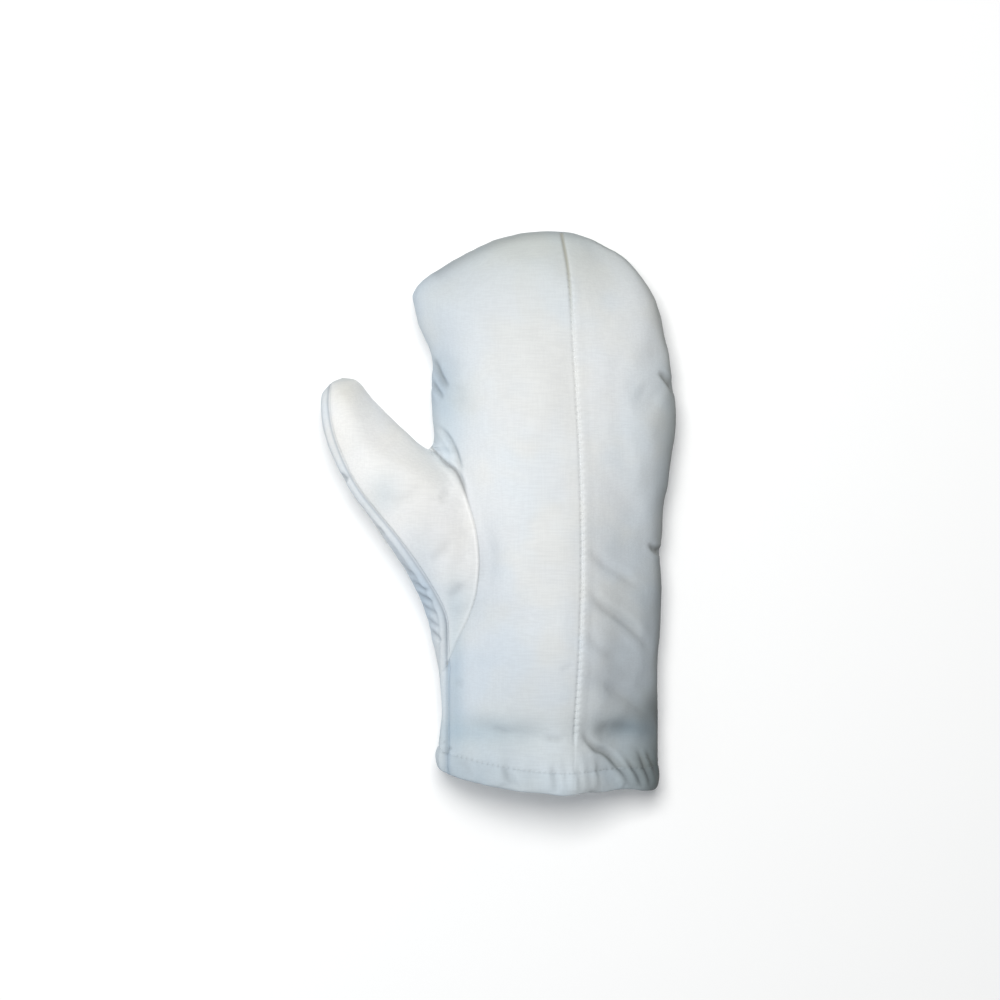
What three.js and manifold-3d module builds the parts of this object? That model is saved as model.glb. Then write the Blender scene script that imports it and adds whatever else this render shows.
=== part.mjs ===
// Padded cotton bakers mitt for the left hand, lying on its back with the palm up and the cuff open.
// Lengths are millimetres. +X is the little-finger side, -X the thumb side, +Y the fingertips, +Z up.
// The origin is on the surface that the mitt rests on, under the middle of its outline.
//
// A hand form and a thumb form are each built as a padded outer skin and a hollow inside it. Joined and
// cut from each other they make one soft wall, which is then divided along the seams into its panels.

import * as THREE from 'three';
import { mergeVertices, toCreasedNormals } from 'three/addons/utils/BufferGeometryUtils.js';
import Module from 'manifold-3d';

const wasm = await Module();
wasm.setup();

// Driving dimensions
const PADDED_WALL = 7;
const HEM_HEIGHT = 13;
const SEAM_GAP = 0.3;
const SEAM_LEVEL = 20;
const TIP_Y = 165.2;
const CUFF_END_Y = -172;
const LOWER_SEAM_X = -30.4;
const TALL = 120;
const FAR = 260;
const MERGE_DISTANCE = 1e-4;
const CREASE_ANGLE = Math.PI / 5;
const HALVINGS = 16;
const SHARE_STEP = 1 / 400;

// How far in from the seam a padded form takes to reach its full height, above and below the seam
const HAND_ROUND = { top: 40, bottom: 24 };
const THUMB_ROUND = { top: 25, bottom: 20 };

// Rings along each form, and steps round it: over each half of the top and across the underside
const OUTER_MESH = {
  hand: { rings: 48, halfTop: 12, under: 12 },
  thumb: { rings: 28, halfTop: 7, under: 10 },
};
const HOLLOW_MESH = {
  hand: { rings: 26, halfTop: 7, under: 8 },
  thumb: { rings: 16, halfTop: 4, under: 6 },
};

// Side seam of the hand form on the thumb side, from the fingertips to the cuff
const HAND_THUMB_EDGE = [
  { x: 28.8, y: 165.2 }, { x: 18.2, y: 164.4 }, { x: 7.1, y: 162.6 }, { x: -1.7, y: 160 },
  { x: -25.7, y: 148.6 }, { x: -46.2, y: 135.1 }, { x: -50.6, y: 131.6 }, { x: -51.5, y: 127.5 },
  { x: -47.4, y: 107.5 }, { x: -39.8, y: 92.3 }, { x: -38.6, y: 76.5 }, { x: -34.8, y: 48.9 },
  { x: -32.2, y: 5 }, { x: -32.8, y: -51.9 }, { x: -35.1, y: -87 }, { x: -33.5, y: -125 },
  { x: -37.6, y: -143.3 }, { x: -38, y: -176 },
];

// Side seam of the hand form on the little-finger side
const HAND_OUTER_EDGE = [
  { x: 28.8, y: 165.2 }, { x: 39.3, y: 164.5 }, { x: 50.5, y: 161.4 }, { x: 72.1, y: 149.1 },
  { x: 82.7, y: 138.3 }, { x: 91.8, y: 126 }, { x: 96.7, y: 107.5 }, { x: 102.4, y: 80 },
  { x: 102.3, y: 74.7 }, { x: 104.4, y: 57.1 }, { x: 101.4, y: 27.2 }, { x: 96.5, y: -3.8 },
  { x: 96.3, y: -17.9 }, { x: 93.7, y: -23.7 }, { x: 95.6, y: -32.5 }, { x: 95.6, y: -59.5 },
  { x: 93.1, y: -117 }, { x: 94.7, y: -158 }, { x: 94.4, y: -176 },
];

// Outer edge of the thumb form, and its inner edge, which runs on under the palm to the thumb's root
const THUMB_OUTER_EDGE = [
  { x: -91.9, y: 79.4 }, { x: -97.2, y: 77.6 }, { x: -101.4, y: 73.4 }, { x: -104.4, y: 60 },
  { x: -101.3, y: 41.3 }, { x: -91.4, y: 19.6 }, { x: -73.8, y: -6.7 }, { x: -53.3, y: -37.8 },
  { x: -42.2, y: -62.4 }, { x: -37, y: -88 }, { x: -30, y: -112 },
];
const THUMB_INNER_EDGE = [
  { x: -91.9, y: 79.4 }, { x: -86.4, y: 77.6 }, { x: -74.4, y: 66.5 }, { x: -56.2, y: 48.9 },
  { x: -39.5, y: 35 }, { x: -25, y: 27 }, { x: -9, y: 12 }, { x: -2, y: -12 }, { x: 2, y: -40 },
  { x: -10, y: -72 }, { x: -22, y: -96 }, { x: -30, y: -112 },
];

// Height of each form's top along its length, with the slope across it on either side of its crest
const HAND_CREST = [
  { y: 166, height: 40, thumbFall: 0.04, outerFall: 0.1 },
  { y: 120, height: 46, thumbFall: 0.05, outerFall: 0.1 },
  { y: 60, height: 52, thumbFall: 0.06, outerFall: 0.14 },
  { y: 0, height: 55, thumbFall: 0.08, outerFall: 0.2 },
  { y: -70, height: 55, thumbFall: 0.1, outerFall: 0.32 },
  { y: -125, height: 51, thumbFall: 0.08, outerFall: 0.34 },
  { y: -176, height: 51, thumbFall: 0.08, outerFall: 0.34 },
];
const THUMB_CREST = [
  { y: 80, height: 37, lift: 5 },
  { y: 50, height: 42, lift: 3 },
  { y: 10, height: 46, lift: 1 },
  { y: -30, height: 49, lift: 0 },
  { y: -72, height: 42, lift: 0 },
  { y: -112, height: 34, lift: 0 },
];

// Seam down the middle of the palm
const CENTRE_SEAM = [
  { x: 35, y: 180 }, { x: 36.4, y: 164.4 }, { x: 40.3, y: 140.3 }, { x: 44, y: 83.5 },
  { x: 47, y: 30 }, { x: 48.1, y: -30.8 }, { x: 46.9, y: -80 }, { x: 44.2, y: -128 }, { x: 42.8, y: -180 },
];

// Seam that sets the thumb into the hand, from the crotch of the thumb round to its root
const THUMB_SET_SEAM = [
  { x: -39.5, y: 36.4 }, { x: -31, y: 27.8 }, { x: -19.9, y: 12.6 }, { x: -15.2, y: -5.6 },
  { x: -11.3, y: -30.8 }, { x: -15.4, y: -55.4 }, { x: -24, y: -75 }, { x: -30.4, y: -88.8 },
];

// Seam between the front and the back of the thumb, which shows a strip of the back beside it
const THUMB_WELT_SEAM = [
  { x: -30.4, y: -88.8 }, { x: -30.2, y: -75.9 }, { x: -31, y: -62.4 }, { x: -37.4, y: -47.8 },
  { x: -57.4, y: -17.9 }, { x: -83.7, y: 15.5 }, { x: -96.2, y: 43 }, { x: -99.6, y: 60 },
  { x: -99.6, y: 70 }, { x: -97, y: 90 },
];

// Seam between the back of the thumb and the back of the hand, where it comes round the side
const THUMB_BACK_SEAM = [
  { x: -30.4, y: -88.8 }, { x: -36.9, y: -80.6 }, { x: -38.6, y: -72.4 }, { x: -60, y: -68 },
];

// Open space round the tip of the thumb and between it and the hand, where the thumb's plans close
const PAST_THUMB_TIP = [{ x: -60, y: 95 }, { x: -50, y: 55 }];

// Lower edge of the cuff
const CUFF_EDGE = [
  { x: -45, y: -141 }, { x: -37.4, y: -147 }, { x: -33.3, y: -152.4 }, { x: -17.2, y: -157.3 },
  { x: 10, y: -162.6 }, { x: 38.1, y: -165 }, { x: 71.6, y: -162.6 }, { x: 88, y: -162.6 },
  { x: 93.5, y: -160.5 }, { x: 100, y: -154 },
];

// Main dents (positive depth) and puffs (negative depth) of the palm side
const FOLDS = [
  { x: 60, y: -132, angle: -38, length: 50, width: 7, depth: 3 },
  { x: 8, y: -130, angle: 0, length: 66, width: 6, depth: 2.6 },
  { x: 62, y: -39, angle: -35, length: 34, width: 6, depth: 2.4 },
  { x: 66, y: -62, angle: -35, length: 40, width: 7, depth: 2.4 },
  { x: 88, y: -22, angle: -60, length: 16, width: 7, depth: 3 },
  { x: 76, y: -127, angle: 0, length: 28, width: 7, depth: 2 },
  { x: 12, y: -60, angle: 0, length: 34, width: 8, depth: 1.4 },
  { x: -24, y: 74, angle: 90, length: 36, width: 8, depth: 1.6 },
  { x: 70, y: -50, angle: -35, length: 30, width: 7, depth: -1.6 },
  { x: 12, y: -141, angle: -4, length: 60, width: 6, depth: -1.2 },
];
const SEAM_GROOVE = { depth: 1.6, width: 4 };

function toVector(point) {
  return new THREE.Vector2(point.x, point.y);
}

// A smooth line through a short list of points, as many short straight steps
function smoothLine(points, steps) {
  const spaced = points.map((point) => new THREE.Vector3(point.x, point.y, 0));
  const curve = new THREE.CatmullRomCurve3(spaced, false, 'centripetal');
  return curve.getPoints(steps).map(toVector);
}

// Value of one named column of a table at a given y, eased between its rows
function columnAt(table, column, y) {
  const last = table.length - 1;
  if (y >= table[0].y) return table[0][column];
  if (y <= table[last].y) return table[last][column];
  const below = table.findIndex((row) => row.y <= y);
  const upper = table[below - 1];
  const lower = table[below];
  const share = (upper.y - y) / (upper.y - lower.y);
  return THREE.MathUtils.lerp(upper[column], lower[column], THREE.MathUtils.smoothstep(share, 0, 1));
}

// Where a line that runs steadily down in y crosses a given y
function crossing(line, y) {
  const below = Math.max(1, line.findIndex((point) => point.y <= y));
  const upper = line[below - 1];
  const lower = line[below];
  const share = (upper.y - y) / (upper.y - lower.y || 1);
  return THREE.MathUtils.lerp(upper.x, lower.x, THREE.MathUtils.clamp(share, 0, 1));
}

// Point of a line at a share of its length
function pointAlong(line, share) {
  const lengths = [0];
  for (let i = 1; i < line.length; i++) lengths.push(lengths[i - 1] + line[i].distanceTo(line[i - 1]));
  const wanted = share * lengths.at(-1);
  const next = Math.max(1, lengths.findIndex((length) => length >= wanted - 1e-9));
  const within = (wanted - lengths[next - 1]) / (lengths[next] - lengths[next - 1]);
  return line[next - 1].clone().lerp(line[next], THREE.MathUtils.clamp(within, 0, 1));
}

function distanceToLine(line, x, y) {
  const point = new THREE.Vector2(x, y);
  const along = new THREE.Vector2();
  const toPoint = new THREE.Vector2();
  let nearest = Infinity;
  for (let i = 1; i < line.length; i++) {
    along.subVectors(line[i], line[i - 1]);
    toPoint.subVectors(point, line[i - 1]);
    const share = THREE.MathUtils.clamp(toPoint.dot(along) / along.lengthSq(), 0, 1);
    nearest = Math.min(nearest, toPoint.addScaledVector(along, -share).length());
  }
  return nearest;
}

const centreSeam = smoothLine(CENTRE_SEAM, 32);
const thumbSetSeam = smoothLine(THUMB_SET_SEAM, 22);
const thumbWeltSeam = smoothLine(THUMB_WELT_SEAM, 26);
const cuffEdge = smoothLine(CUFF_EDGE, 26);

// Depth of the folds and of the sewn-down seams at a place on the palm side
function dentDepth(x, y) {
  let depth = 0;
  for (const fold of FOLDS) {
    const turn = THREE.MathUtils.degToRad(fold.angle);
    const along = (x - fold.x) * Math.cos(turn) + (y - fold.y) * Math.sin(turn);
    const across = (y - fold.y) * Math.cos(turn) - (x - fold.x) * Math.sin(turn);
    depth += fold.depth * Math.exp(-((across / fold.width) ** 2) - (along / (0.5 * fold.length)) ** 2);
  }
  for (const seam of [centreSeam, thumbSetSeam]) {
    const distance = distanceToLine(seam, x, y);
    depth += SEAM_GROOVE.depth * Math.exp(-((distance / SEAM_GROOVE.width) ** 2));
  }
  return depth;
}

// Quarter-round rise from 0 at the seam to 1 at full height
function roundedRise(share) {
  const t = THREE.MathUtils.clamp(share, 0, 1);
  return Math.sqrt(1 - (1 - t) ** 2);
}

// The hand form is sliced straight across. Its crest is the centre seam and its cuff end is flat.
const hand = {
  left: smoothLine(HAND_THUMB_EDGE, 120),
  right: smoothLine(HAND_OUTER_EDGE, 120),
  round: HAND_ROUND,
  flatEnd: true,
  row(share) {
    const y = THREE.MathUtils.lerp(TIP_Y, CUFF_END_Y, share);
    const left = new THREE.Vector2(crossing(this.left, y), y);
    return { left, right: new THREE.Vector2(crossing(this.right, y), y) };
  },
  spacing: (share) => THREE.MathUtils.lerp(share, 1 - Math.cos((share * Math.PI) / 2), 0.6),
  crestShare: (left, right) => (crossing(centreSeam, left.y) - left.x) / (right.x - left.x),
  roof(x, y) {
    const offset = x - crossing(centreSeam, y);
    const fall = columnAt(HAND_CREST, offset > 0 ? 'outerFall' : 'thumbFall', y);
    return columnAt(HAND_CREST, 'height', y) - fall * Math.abs(offset);
  },
  base: () => 0,
};

// The thumb form is sliced across its own length, from edge to edge, and is closed at both ends
const thumb = {
  left: smoothLine(THUMB_OUTER_EDGE, 80),
  right: smoothLine(THUMB_INNER_EDGE, 80),
  round: THUMB_ROUND,
  flatEnd: false,
  row(share) {
    return { left: pointAlong(this.left, share), right: pointAlong(this.right, share) };
  },
  spacing: (share) => THREE.MathUtils.lerp(share, (1 - Math.cos(share * Math.PI)) / 2, 0.5),
  crestShare: () => 0.5,
  roof: (x, y) => columnAt(THUMB_CREST, 'height', y),
  base: (x, y) => columnAt(THUMB_CREST, 'lift', y),
};

function depthInside(form, point) {
  const toLeft = distanceToLine(form.left, point.x, point.y);
  return Math.min(toLeft, distanceToLine(form.right, point.x, point.y));
}

function middleOf(row) {
  return row.left.clone().lerp(row.right, 0.5);
}

// The first row that is deep enough for the inset, going from one end of the form to the other
function firstDeepShare(form, inset, from, to) {
  let share = from;
  while (depthInside(form, middleOf(form.row(share))) < inset) share += (to - from) * SHARE_STEP;
  return share;
}

// Where a row that runs from an edge to its middle is the inset's depth inside the form
function insetPoint(form, edge, middle, inset) {
  if (inset === 0) return edge;
  let outside = 0;
  let inside = 1;
  for (let i = 0; i < HALVINGS; i++) {
    const half = (outside + inside) / 2;
    if (depthInside(form, edge.clone().lerp(middle, half)) < inset) outside = half;
    else inside = half;
  }
  return edge.clone().lerp(middle, inside);
}

// Rows of a form that is inset by the wall, from its tip to its other end
function insetRows(form, inset, rings) {
  const start = firstDeepShare(form, inset, 0, 1);
  const end = form.flatEnd ? 1 : firstDeepShare(form, inset, 1, 0);
  const lastOpen = form.flatEnd ? rings - 1 : rings;
  const rows = [];
  for (let ring = 0; ring <= rings; ring++) {
    const share = form.spacing(Math.min(1, ring / lastOpen));
    const row = form.row(THREE.MathUtils.lerp(start, end, share));
    const middle = middleOf(row);
    const closed = ring === 0 || ring === rings;
    const left = closed ? middle : insetPoint(form, row.left, middle, inset);
    const right = closed ? middle : insetPoint(form, row.right, middle, inset);
    const crest = closed ? 0.5 : THREE.MathUtils.clamp(form.crestShare(left, right), 0, 1);
    rows.push({ left, right, crest });
  }
  return rows;
}

// Height of a form's skin above or below the seam, at a place inside its edges
function skinHeight(form, point, inset, upper) {
  const depth = Math.max(0, depthInside(form, point) - inset);
  if (!upper) {
    const fall = roundedRise(depth / (form.round.bottom - inset));
    return SEAM_LEVEL - (SEAM_LEVEL - form.base(point.x, point.y) - inset) * fall;
  }
  const rise = roundedRise(depth / (form.round.top - inset));
  const dent = inset === 0 ? dentDepth(point.x, point.y) * rise : 0;
  return SEAM_LEVEL + (form.roof(point.x, point.y) - inset - SEAM_LEVEL) * rise - dent;
}

function easedShare(share) {
  return (1 - Math.cos(Math.PI * share)) / 2;
}

// A sphere whose rings become the rows of the form. Each ring starts at the edge at +X, climbs over the
// crest to the edge at -X and comes back underneath.
function paddedForm(form, inset, mesh) {
  const around = 2 * mesh.halfTop + mesh.under;
  const geometry = new THREE.SphereGeometry(1, around, mesh.rings);
  const position = geometry.attributes.position;
  const rows = insetRows(form, inset, mesh.rings);
  for (let i = 0; i < position.count; i++) {
    const row = rows[Math.floor(i / (around + 1))];
    const step = (around - (i % (around + 1))) % around;
    const upper = step > 0 && step < 2 * mesh.halfTop;
    let across = THREE.MathUtils.lerp(1, row.crest, easedShare(step / mesh.halfTop));
    if (step > mesh.halfTop) across = row.crest * (1 - easedShare(step / mesh.halfTop - 1));
    if (step > 2 * mesh.halfTop) across = easedShare((step - 2 * mesh.halfTop) / mesh.under);
    const point = row.left.clone().lerp(row.right, across);
    const onEdge = row.left.equals(row.right) || step === 0 || step === 2 * mesh.halfTop;
    const height = onEdge ? SEAM_LEVEL : skinHeight(form, point, inset, upper);
    position.setXYZ(i, point.x, point.y, height);
  }
  return toSolid(geometry);
}

function toSolid(geometry) {
  geometry.deleteAttribute('normal');
  geometry.deleteAttribute('uv');
  const merged = mergeVertices(geometry, MERGE_DISTANCE);
  const mesh = new wasm.Mesh({
    numProp: 3,
    vertProperties: new Float32Array(merged.attributes.position.array),
    triVerts: new Uint32Array(merged.index.array),
  });
  return new wasm.Manifold(mesh);
}

// An upright block with a given plan outline, between two heights
function prism(outline, bottom, top) {
  const geometry = new THREE.ExtrudeGeometry(new THREE.Shape(outline), {
    depth: top - bottom,
    bevelEnabled: false,
  });
  geometry.translate(0, 0, bottom);
  return toSolid(geometry);
}

// The same closed outline with every side moved outwards by a margin
function grown(outline, margin) {
  const outwards = Math.sign(THREE.ShapeUtils.area(outline));
  return outline.map((point, i) => {
    const before = outline.at(i - 1);
    const after = outline[(i + 1) % outline.length];
    const entering = point.clone().sub(before).normalize();
    const leaving = after.clone().sub(point).normalize();
    const normals = new THREE.Vector2(entering.y + leaving.y, -entering.x - leaving.x);
    const reach = (2 * margin * outwards) / normals.lengthSq();
    return point.clone().addScaledVector(normals, reach);
  });
}

// Plan of everything on the cuff side of the cuff's edge line, moved up by a height
function cuffPlan(raise) {
  const line = cuffEdge.map((point) => new THREE.Vector2(point.x, point.y + raise));
  const corners = [
    { x: FAR, y: line.at(-1).y }, { x: FAR, y: -FAR }, { x: -FAR, y: -FAR }, { x: -FAR, y: line[0].y },
  ];
  return [...line, ...corners.map(toVector)];
}

// Plan of the thumb's front: down the set-in seam, up the welt seam and round the tip
function thumbFrontPlan() {
  return [...thumbSetSeam, ...thumbWeltSeam, ...PAST_THUMB_TIP.map(toVector)];
}

// Plan of the whole thumb, whose back also takes in the strip outside the welt seam
function thumbPlan() {
  const outside = [{ x: -FAR, y: THUMB_BACK_SEAM.at(-1).y }, { x: -FAR, y: PAST_THUMB_TIP[0].y }];
  const rest = [...THUMB_BACK_SEAM.slice(1), ...outside, ...PAST_THUMB_TIP];
  return [...thumbSetSeam, ...rest.map(toVector)];
}

// Plan of the palm: beyond the lower side seam, and out past the hand's edge above the thumb
function palmPlan() {
  const outside = [{ x: -FAR, y: THUMB_BACK_SEAM.at(-1).y }, { x: -FAR, y: FAR }, { x: FAR, y: FAR }];
  const cuffEnd = [{ x: FAR, y: -FAR }, { x: LOWER_SEAM_X, y: -FAR }];
  return [...THUMB_BACK_SEAM, ...outside, ...cuffEnd].map(toVector);
}

function beyondCentreSeam(margin) {
  const line = centreSeam.map((point) => new THREE.Vector2(point.x + margin, point.y));
  return prism([...line, new THREE.Vector2(FAR, -FAR), new THREE.Vector2(FAR, FAR)], -TALL, TALL);
}

// Cut one panel out of the wall above a level, and open the seam gap between it and what is left
function takePanel(wall, plan, level) {
  const panel = wall.intersect(prism(plan, level, TALL));
  const rest = wall.subtract(prism(grown(plan, SEAM_GAP), level - SEAM_GAP, TALL));
  return { panel, rest };
}

function softWall() {
  const outside = paddedForm(hand, 0, OUTER_MESH.hand).add(paddedForm(thumb, 0, OUTER_MESH.thumb));
  const hollowHand = paddedForm(hand, PADDED_WALL, HOLLOW_MESH.hand);
  const hollowThumb = paddedForm(thumb, PADDED_WALL, HOLLOW_MESH.thumb);
  const wall = outside.subtract(hollowHand.add(hollowThumb));
  return wall.subtract(prism(cuffPlan(0), -TALL, TALL));
}

const cloth = { roughness: 0.9, metalness: 0 };
const MATERIALS = {
  palm_thumb_half: new THREE.MeshStandardMaterial({ color: 0xe8ecee, ...cloth }),
  palm_outer_half: new THREE.MeshStandardMaterial({ color: 0xe2e5e6, ...cloth }),
  back_panel: new THREE.MeshStandardMaterial({ color: 0xdfe5e8, ...cloth }),
  thumb_front: new THREE.MeshStandardMaterial({ color: 0xf0efeb, ...cloth }),
  thumb_back: new THREE.MeshStandardMaterial({ color: 0xdbe3e9, ...cloth }),
  hem_band: new THREE.MeshStandardMaterial({ color: 0xdde3e7, ...cloth }),
};

function toMesh(name, solid) {
  const data = solid.getMesh();
  const geometry = new THREE.BufferGeometry();
  geometry.setAttribute('position', new THREE.BufferAttribute(data.vertProperties, 3));
  geometry.setIndex(new THREE.BufferAttribute(data.triVerts, 1));
  const mesh = new THREE.Mesh(toCreasedNormals(geometry, CREASE_ANGLE), MATERIALS[name]);
  mesh.name = name;
  return mesh;
}

// Divide the soft wall along its seams
function mitt() {
  const hem = takePanel(softWall(), cuffPlan(HEM_HEIGHT), -TALL);
  const thumbFront = takePanel(hem.rest, thumbFrontPlan(), SEAM_LEVEL);
  const thumbBack = takePanel(thumbFront.rest, thumbPlan(), -TALL);
  const palm = takePanel(thumbBack.rest, palmPlan(), SEAM_LEVEL);

  const group = new THREE.Group();
  group.add(toMesh('palm_thumb_half', palm.panel.subtract(beyondCentreSeam(-SEAM_GAP / 2))));
  group.add(toMesh('palm_outer_half', palm.panel.intersect(beyondCentreSeam(SEAM_GAP / 2))));
  group.add(toMesh('back_panel', palm.rest));
  group.add(toMesh('thumb_front', thumbFront.panel));
  group.add(toMesh('thumb_back', thumbBack.panel));
  group.add(toMesh('hem_band', hem.panel));
  return group;
}

export default mitt();
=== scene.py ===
# %% [markdown]
# # A padded cotton bakers mitt
# A bakers mitt is a bag for the hand, sewn from a few panels of white cotton with wadding between two
# plies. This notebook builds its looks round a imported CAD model, which already has the right size, the
# hollow inside and the panels. Blender adds what makes it cloth: soft swelling, sewn seams, folds,
# stitches and a woven finish.

import math

import bmesh
import bpy
import numpy as np
from mathutils import Matrix, Quaternion, Vector
from mathutils.bvhtree import BVHTree


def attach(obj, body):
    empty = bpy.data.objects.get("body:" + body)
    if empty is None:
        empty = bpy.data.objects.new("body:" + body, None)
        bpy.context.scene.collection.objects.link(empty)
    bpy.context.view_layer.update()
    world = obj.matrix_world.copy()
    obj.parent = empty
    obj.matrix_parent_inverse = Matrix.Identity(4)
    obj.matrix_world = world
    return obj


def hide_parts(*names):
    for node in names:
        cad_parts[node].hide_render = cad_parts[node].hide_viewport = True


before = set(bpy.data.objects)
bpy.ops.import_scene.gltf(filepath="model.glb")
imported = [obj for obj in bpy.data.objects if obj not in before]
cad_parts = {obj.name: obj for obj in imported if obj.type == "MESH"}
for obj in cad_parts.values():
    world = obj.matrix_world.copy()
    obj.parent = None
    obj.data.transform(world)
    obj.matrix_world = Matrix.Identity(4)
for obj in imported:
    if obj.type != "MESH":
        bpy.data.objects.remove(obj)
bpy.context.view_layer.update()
print("CAD nodes:", sorted(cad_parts))

# %% [markdown]
# ## Sizes
# Everything is worked out in millimetres, as a pattern cutter would, and turned into metres where a
# mesh is made. The seam lines are short lists of points on the flat palm, joined by a smooth curve.

# %% Driving sizes
MM = 0.001
SEAM_LEVEL = 20.0
HEM_HEIGHT = 13.0
LOWER_SEAM_X = -30.4
HEEL_OF_THUMB = (LOWER_SEAM_X, -88.8)
FAR = 260.0
TALL = 120.0
STITCH_PITCH = 4.13

CENTRE_SEAM = [
    (35, 180), (36.4, 164.4), (40.3, 140.3), (44, 83.5), (47, 30), (48.1, -30.8), (46.9, -80),
    (44.2, -128), (42.8, -180),
]
THUMB_SET_SEAM = [
    (-39.5, 37.4), (-31.6, 29.3), (-25.3, 23.8), (-21.6, 17), (-17.6, 5), (-14, -7), (-11.6, -22),
    (-11.4, -34), (-13.6, -50), (-17.6, -61.5), (-24, -75), HEEL_OF_THUMB,
]
THUMB_WELT_SEAM = [
    HEEL_OF_THUMB, (-30.2, -75.9), (-31, -62.4), (-37.4, -47.8), (-57.4, -17.9), (-83.7, 15.5),
    (-96.2, 43), (-99.6, 60), (-99.6, 70), (-97, 90),
]
THUMB_BACK_SEAM = [HEEL_OF_THUMB, (-36.9, -80.6), (-38.6, -72.4), (-60, -68)]
PAST_THUMB_TIP = [(-60, 95), (-50, 55)]
CUFF_EDGE = [
    (-45, -141), (-37.4, -147), (-33.3, -152.4), (-17.2, -157.3), (10, -162.6), (38.1, -165),
    (71.6, -162.6), (88, -162.6), (93.5, -160.5), (100, -154),
]


# %% Smooth lines and distances to them
def part_way(first, second, t, start, end):
    """The place between two points that t has reached on its way from start to end."""
    return first + (second - first) * (t - start) / (end - start)


def smooth_line(points, steps=12):
    """A centripetal Catmull-Rom curve through the points, in straight steps."""
    given = np.array(points, float)
    ends = np.array([2 * given[0] - given[1], 2 * given[-1] - given[-2]])
    row = np.vstack([ends[:1], given, ends[1:]])
    line = []
    for a, b, c, d in zip(row, row[1:], row[2:], row[3:]):
        knots = np.cumsum([0] + [np.linalg.norm(q - p) ** 0.5 for p, q in ((a, b), (b, c), (c, d))])
        for t in np.linspace(knots[1], knots[2], steps, endpoint=False):
            ab = part_way(a, b, t, *knots[:2])
            bc = part_way(b, c, t, *knots[1:3])
            cd = part_way(c, d, t, *knots[2:])
            abc = part_way(ab, bc, t, *knots[:3:2])
            bcd = part_way(bc, cd, t, *knots[1::2])
            line.append(part_way(abc, bcd, t, *knots[1:3]))
    line.append(given[-1])
    return np.array(line)


def measure_from(line, places):
    """For each place in plan: how far it is from a line, positive on the line's left hand, and how
    far along the line its nearest point is."""
    nearest = np.full(len(places), np.inf)
    signed = np.zeros(len(places))
    travelled = np.zeros(len(places))
    passed = 0.0
    for start, end in zip(line, line[1:]):
        step = end - start
        length = np.linalg.norm(step)
        if not length:
            continue
        reach = places[:, :2] - start
        share = np.clip(reach @ step / length**2, 0, 1)
        gap = np.linalg.norm(reach - share[:, None] * step, axis=1)
        closer = gap < nearest
        turn = np.sign(step[0] * reach[:, 1] - step[1] * reach[:, 0])
        nearest = np.where(closer, gap, nearest)
        signed = np.where(closer, gap * turn, signed)
        travelled = np.where(closer, passed + share * length, travelled)
        passed += length
    return signed, travelled


centre_seam = smooth_line(CENTRE_SEAM)
thumb_set_seam = smooth_line(THUMB_SET_SEAM)
thumb_welt_seam = smooth_line(THUMB_WELT_SEAM)
side_seam = np.array([HEEL_OF_THUMB, (LOWER_SEAM_X, -180.0)])
rolled_seam = np.vstack([side_seam[::-1], thumb_welt_seam])
cuff_edge = smooth_line(CUFF_EDGE)
print("centre seam has", len(centre_seam), "points")


# %% Soft shapes that sags, seams and folds are made of
def soft_step(values, start, end):
    share = np.clip((values - start) / (end - start), 0, 1)
    return share * share * (3 - 2 * share)


def hump(values, width, middle=0.0, height=1.0):
    """A soft rise about its middle, or a dip where the height is below nothing."""
    return height * np.exp(-(((values - middle) / width) ** 2))


# %% [markdown]
# ## The swollen form
# Real wadding swells between its seams and is smooth where nothing holds it. The six CAD nodes are
# copied into one mesh, remeshed into even squares, and relaxed so that the flat facets disappear.
# Doing this to the whole mitt at once, before it is cut into panels, keeps the cloth running on
# smoothly from one panel to the next.


# %% Helpers to read, write and relax a mesh's points
def read_vectors(mesh, kind):
    vectors = np.empty(len(mesh.vertices) * 3, np.float64)
    mesh.vertices.foreach_get(kind, vectors)
    return vectors.reshape(-1, 3)


def read_points(mesh):
    return read_vectors(mesh, "co") / MM


def read_normals(mesh):
    return read_vectors(mesh, "normal")


def write_points(mesh, points):
    mesh.vertices.foreach_set("co", (points * MM).astype(np.float32).ravel())
    mesh.update()


def read_edges(mesh):
    edges = np.empty(len(mesh.edges) * 2, np.int64)
    mesh.edges.foreach_get("vertices", edges)
    return edges.reshape(-1, 2)


def relax(points, edges, weight, rounds):
    """Moves each point towards the middle of its neighbours, as far as its weight allows."""
    first, second = edges[:, 0], edges[:, 1]
    count = np.bincount(edges.ravel(), minlength=len(points))
    for _ in range(rounds):
        total = np.empty_like(points)
        for axis in range(3):
            total[:, axis] = np.bincount(first, points[second, axis], len(points))
            total[:, axis] += np.bincount(second, points[first, axis], len(points))
        points = points + 0.5 * weight * (total / count[:, None] - points)
    return points


def select_only(*pieces):
    """Selects nothing but these pieces, with the first one active."""
    bpy.ops.object.select_all(action="DESELECT")
    for piece in pieces:
        piece.select_set(True)
    bpy.context.view_layer.objects.active = pieces[0]


def into_scene(piece):
    bpy.context.scene.collection.objects.link(piece)
    return piece


# %% Join copies of the CAD nodes and remesh them
FORM_VOXEL = 4.0
SAME_PLACE = 1e-6


def joined_copy(name):
    joined = bmesh.new()
    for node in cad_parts.values():
        joined.from_mesh(node.data)
    bmesh.ops.remove_doubles(joined, verts=joined.verts, dist=SAME_PLACE)
    mesh = bpy.data.meshes.new(name)
    joined.to_mesh(mesh)
    joined.free()
    return into_scene(bpy.data.objects.new(name, mesh))


form = joined_copy("mitt_form")
select_only(form)
form.data.remesh_voxel_size = FORM_VOXEL * MM
form.data.remesh_voxel_adaptivity = 0
bpy.ops.object.voxel_remesh()
print("form has", len(form.data.polygons), "faces")

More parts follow.
